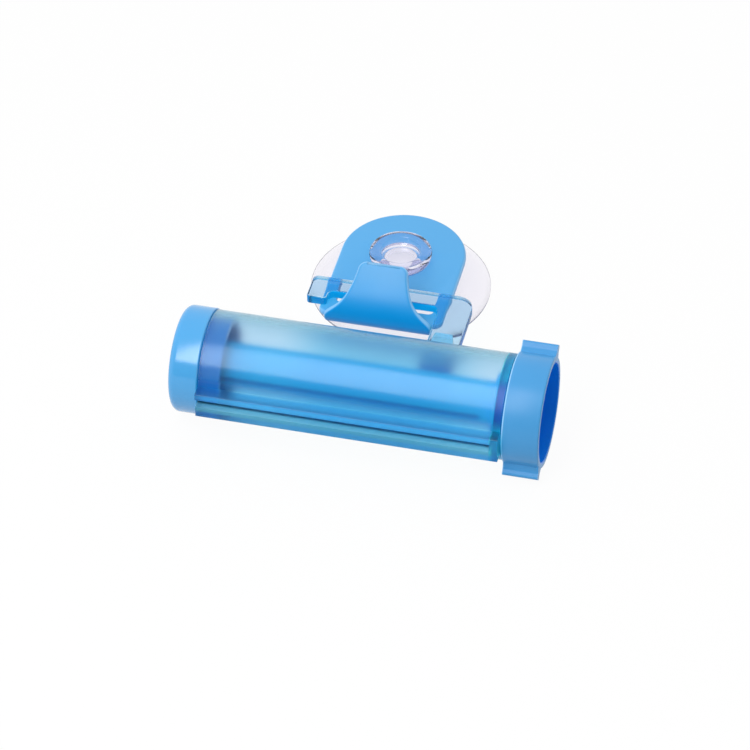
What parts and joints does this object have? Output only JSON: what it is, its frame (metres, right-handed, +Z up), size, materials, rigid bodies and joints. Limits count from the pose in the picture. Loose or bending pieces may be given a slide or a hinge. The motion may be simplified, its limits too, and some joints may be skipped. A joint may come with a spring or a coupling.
{
  "type": "toothpaste tube squeezer",
  "caption": "Translucent barrel with a slot and a winding roller turned by an open ring knob; a clear hanger on its back hooks over a bent tongue on a suction cup.",
  "frame": {"origin": "centre of the footprint, at the height of the table that the object lies on", "axes": "+X along the barrel from the end cap to the knob, +Y from the barrel to the suction cup, +Z up, out of the suction cup's back"},
  "size_m": [0.0904, 0.091, 0.027],
  "materials": {
    "frosted_blue_styrene": "translucent, fine frosting",
    "sky_blue_abs": "smooth moulded",
    "sky_blue_shaft": "smooth moulded",
    "sky_blue_knob": "smooth moulded",
    "clear_blue_styrene": "clear, polished",
    "sky_blue_hook": "satin moulded",
    "clear_pvc": "clear, soft"
  },
  "bodies": {
    "cup": {"suction_cup": "clear_pvc"},
    "hook_plate": {"hook": "sky_blue_hook"},
    "barrel_set": {"barrel": "frosted_blue_styrene", "end_cap": "sky_blue_abs", "hanger": "clear_blue_styrene"},
    "winder": {"roller": "sky_blue_shaft", "knob": "sky_blue_knob"}
  },
  "joints": [
    {"name": "hook_spin", "type": "hinge", "parent": "cup", "child": "hook_plate", "pos_m": [-0.0033, 0.0229, 0.0065], "axis": [0, 0, 1], "continuous": true},
    {"name": "hang_swing", "type": "hinge", "parent": "hook_plate", "child": "barrel_set", "pos_m": [0, 0.0097, 0.0088], "axis": [-1, 0, 0], "range_deg": [0, 75]},
    {"name": "knob_turn", "type": "hinge", "parent": "barrel_set", "child": "winder", "pos_m": [0, -0.0299, 0.0135], "axis": [1, 0, 0], "continuous": true}
  ]
}
